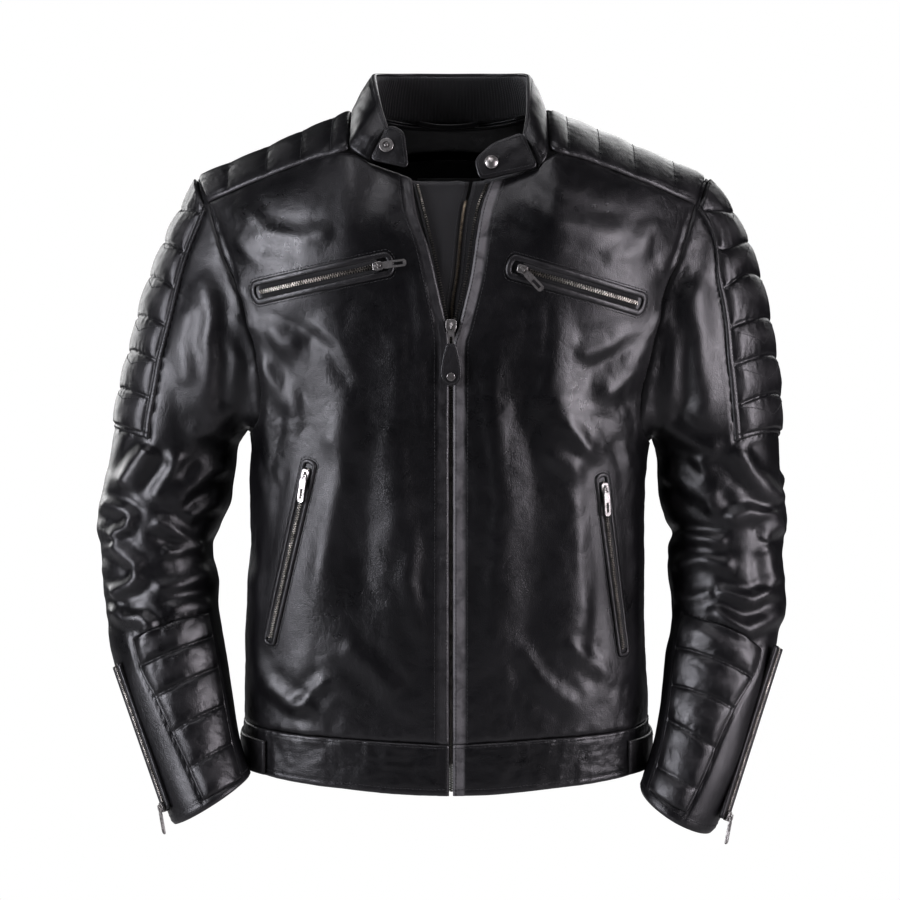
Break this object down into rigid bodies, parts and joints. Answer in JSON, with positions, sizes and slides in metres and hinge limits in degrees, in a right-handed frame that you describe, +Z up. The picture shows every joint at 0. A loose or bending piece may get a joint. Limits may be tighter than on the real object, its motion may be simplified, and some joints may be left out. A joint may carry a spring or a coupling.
{
  "type": "leather riding jacket",
  "caption": "Waist-length black leather riding jacket with a short stand collar, quilted shoulders and sleeves, a full front zip, and zipped chest pockets, hand pockets and cuffs.",
  "frame": {"origin": "inner face of the hanger loop at the centre back of the neck", "axes": "+Z up as worn, the fronts face -Y, +X towards the wearer's left"},
  "size_m": [0.6561, 0.2612, 0.7159],
  "materials": {
    "leather": "glossy smooth black cowhide with fine grain, worn slightly grey on the seams",
    "quilted_leather": "the same leather over wadding, with stitched channels",
    "trim_leather": "black leather trim, stitched near its edges",
    "knit": "black ribbed knit",
    "lining": "black woven lining",
    "zip_tape": "black woven zip tape",
    "zip_teeth": "antique dark brass, rubbed on top",
    "zip_metal": "antique silver, tumbled",
    "snap_metal": "antique silver snap",
    "armour_foam": "soft dark foam",
    "label": "plain woven label, blank"
  },
  "bodies": {
    "shell": {"armour_pads": "armour_foam", "back_panel": "leather", "chest_welts": "leather", "chest_zips": "zip_teeth", "collar_band": "leather", "collar_knit": "knit", "cuff_zips": "zip_teeth", "forearm_pad_left": "quilted_leather", "forearm_pad_right": "quilted_leather", "front_panel_left": "leather", "front_panel_right": "leather", "hand_welts": "leather", "hand_zips": "zip_teeth", "hanger_loop": "trim_leather", "hem_band_back": "leather", "hem_band_left": "leather", "hem_band_right": "leather", "hem_strap_bases": "trim_leather", "lining_back": "lining", "lining_front_left": "lining", "lining_front_right": "lining", "lining_zip": "zip_teeth", "main_zip_tapes": "zip_tape", "main_zip_teeth": "zip_teeth", "neck_label": "label", "pocket_bags": "lining", "sleeve_back_left": "leather", "sleeve_back_right": "leather", "sleeve_front_left": "leather", "sleeve_front_right": "leather", "sleeve_linings": "lining", "upper_arm_pad_left": "quilted_leather", "upper_arm_pad_right": "quilted_leather", "yoke_back": "quilted_leather", "yoke_left": "quilted_leather", "yoke_right": "quilted_leather"},
    "main_slider": {"main_slider": "zip_metal"},
    "main_pull_link": {"main_pull_link": "zip_metal"},
    "main_pull_tab": {"main_pull_tab": "trim_leather", "main_pull_rivet": "zip_metal"},
    "collar_tab_right": {"collar_tab_right": "trim_leather", "collar_snap_socket": "snap_metal"},
    "collar_tab_left": {"collar_tab_left": "trim_leather", "collar_snap_cap": "snap_metal"},
    "hem_strap_left": {"hem_strap_left": "trim_leather", "hem_snap_left": "snap_metal"},
    "hem_strap_right": {"hem_strap_right": "trim_leather", "hem_snap_right": "snap_metal"},
    "chest_left_slider": {"chest_left_slider": "zip_metal"},
    "chest_left_pull": {"chest_left_pull": "zip_metal"},
    "chest_right_slider": {"chest_right_slider": "zip_metal"},
    "chest_right_pull": {"chest_right_pull": "zip_metal"},
    "hand_left_slider": {"hand_left_slider": "zip_metal"},
    "hand_left_pull": {"hand_left_pull": "zip_metal"},
    "hand_right_slider": {"hand_right_slider": "zip_metal"},
    "hand_right_pull": {"hand_right_pull": "zip_metal"},
    "cuff_left_slider": {"cuff_left_slider": "zip_metal"},
    "cuff_left_pull": {"cuff_left_pull": "zip_metal"},
    "cuff_right_slider": {"cuff_right_slider": "zip_metal"},
    "cuff_right_pull": {"cuff_right_pull": "zip_metal"}
  },
  "joints": [
    {"name": "main_zip", "type": "slide", "parent": "shell", "child": "main_slider", "axis": [0, 0.0185, -0.9998], "range_m": [0, 0.405]},
    {"name": "main_link_swing", "type": "hinge", "parent": "main_slider", "child": "main_pull_link", "pos_m": [0.0019, -0.19227, -0.18208], "axis": [-1, 0, 0], "range_deg": [0, 110]},
    {"name": "main_tab_swing", "type": "hinge", "parent": "main_pull_link", "child": "main_pull_tab", "pos_m": [0.0019, -0.19198, -0.19808], "axis": [-1, 0, 0], "range_deg": [0, 50]},
    {"name": "chest_left_zip", "type": "hinge", "parent": "shell", "child": "chest_left_slider", "pos_m": [0.06362, 0.03242, -0.14095], "axis": [-0.2741, -0.0446, -0.9607], "range_deg": [-27.01, 0]},
    {"name": "chest_left_pull_swing", "type": "hinge", "parent": "chest_left_slider", "child": "chest_left_pull", "pos_m": [0.06609, -0.1913, -0.13128], "axis": [-0.7262, -0.0377, -0.6864], "range_deg": [0, 165]},
    {"name": "chest_right_zip", "type": "hinge", "parent": "shell", "child": "chest_right_slider", "pos_m": [-0.06156, 0.0274, -0.13958], "axis": [-0.2054, 0.0522, 0.9773], "range_deg": [-27.93, 0]},
    {"name": "chest_right_pull_swing", "type": "hinge", "parent": "chest_right_slider", "child": "chest_right_pull", "pos_m": [-0.06408, -0.19126, -0.12843], "axis": [0.1287, -0.0519, -0.9903], "range_deg": [0, 165]},
    {"name": "hand_left_zip", "type": "slide", "parent": "shell", "child": "hand_left_slider", "axis": [0.1321, 0.1169, -0.9843], "range_m": [0, 0.1474]},
    {"name": "hand_left_pull_swing", "type": "hinge", "parent": "hand_left_slider", "child": "hand_left_pull", "pos_m": [0.14414, -0.16259, -0.332], "axis": [-0.7805, -0.6197, -0.0828], "range_deg": [0, 165]},
    {"name": "hand_right_zip", "type": "slide", "parent": "shell", "child": "hand_right_slider", "axis": [-0.2226, 0.1374, -0.9652], "range_m": [0, 0.1532]},
    {"name": "hand_right_pull_swing", "type": "hinge", "parent": "hand_right_slider", "child": "hand_right_pull", "pos_m": [-0.13223, -0.17, -0.31878], "axis": [-0.8187, 0.5472, 0.1743], "range_deg": [0, 165]},
    {"name": "cuff_left_zip", "type": "slide", "parent": "shell", "child": "cuff_left_slider", "axis": [0.3186, 0.2378, 0.9176], "range_m": [0, 0.1554]},
    {"name": "cuff_left_pull_swing", "type": "hinge", "parent": "cuff_left_slider", "child": "cuff_left_pull", "pos_m": [0.26104, -0.16006, -0.63811], "axis": [-0.4789, -0.8776, 0.0199], "range_deg": [0, 165]},
    {"name": "cuff_right_zip", "type": "slide", "parent": "shell", "child": "cuff_right_slider", "axis": [-0.3465, 0.2676, 0.8991], "range_m": [0, 0.1307]},
    {"name": "cuff_right_pull_swing", "type": "hinge", "parent": "cuff_right_slider", "child": "cuff_right_pull", "pos_m": [-0.26787, -0.15684, -0.63008], "axis": [-0.4818, 0.8729, 0.0768], "range_deg": [0, 165]},
    {"name": "collar_tab_right_flap", "type": "hinge", "parent": "shell", "child": "collar_tab_right", "pos_m": [-0.06375, -0.1465, -0.017], "axis": [-0.4605, -0.1842, -0.8683], "range_deg": [0, 75]},
    {"name": "collar_tab_left_flap", "type": "hinge", "parent": "shell", "child": "collar_tab_left", "pos_m": [0.07425, -0.15025, -0.02425], "axis": [-0.3877, 0.3075, 0.869], "range_deg": [0, 75]},
    {"name": "hem_strap_left_flap", "type": "hinge", "parent": "shell", "child": "hem_strap_left", "pos_m": [0.19226, -0.08139, -0.58698], "axis": [0.0088, -0.0009, -1], "range_deg": [0, 45]},
    {"name": "hem_strap_right_flap", "type": "hinge", "parent": "shell", "child": "hem_strap_right", "pos_m": [-0.19661, -0.08139, -0.58696], "axis": [0.0177, 0.0018, 0.9998], "range_deg": [0, 45]}
  ]
}
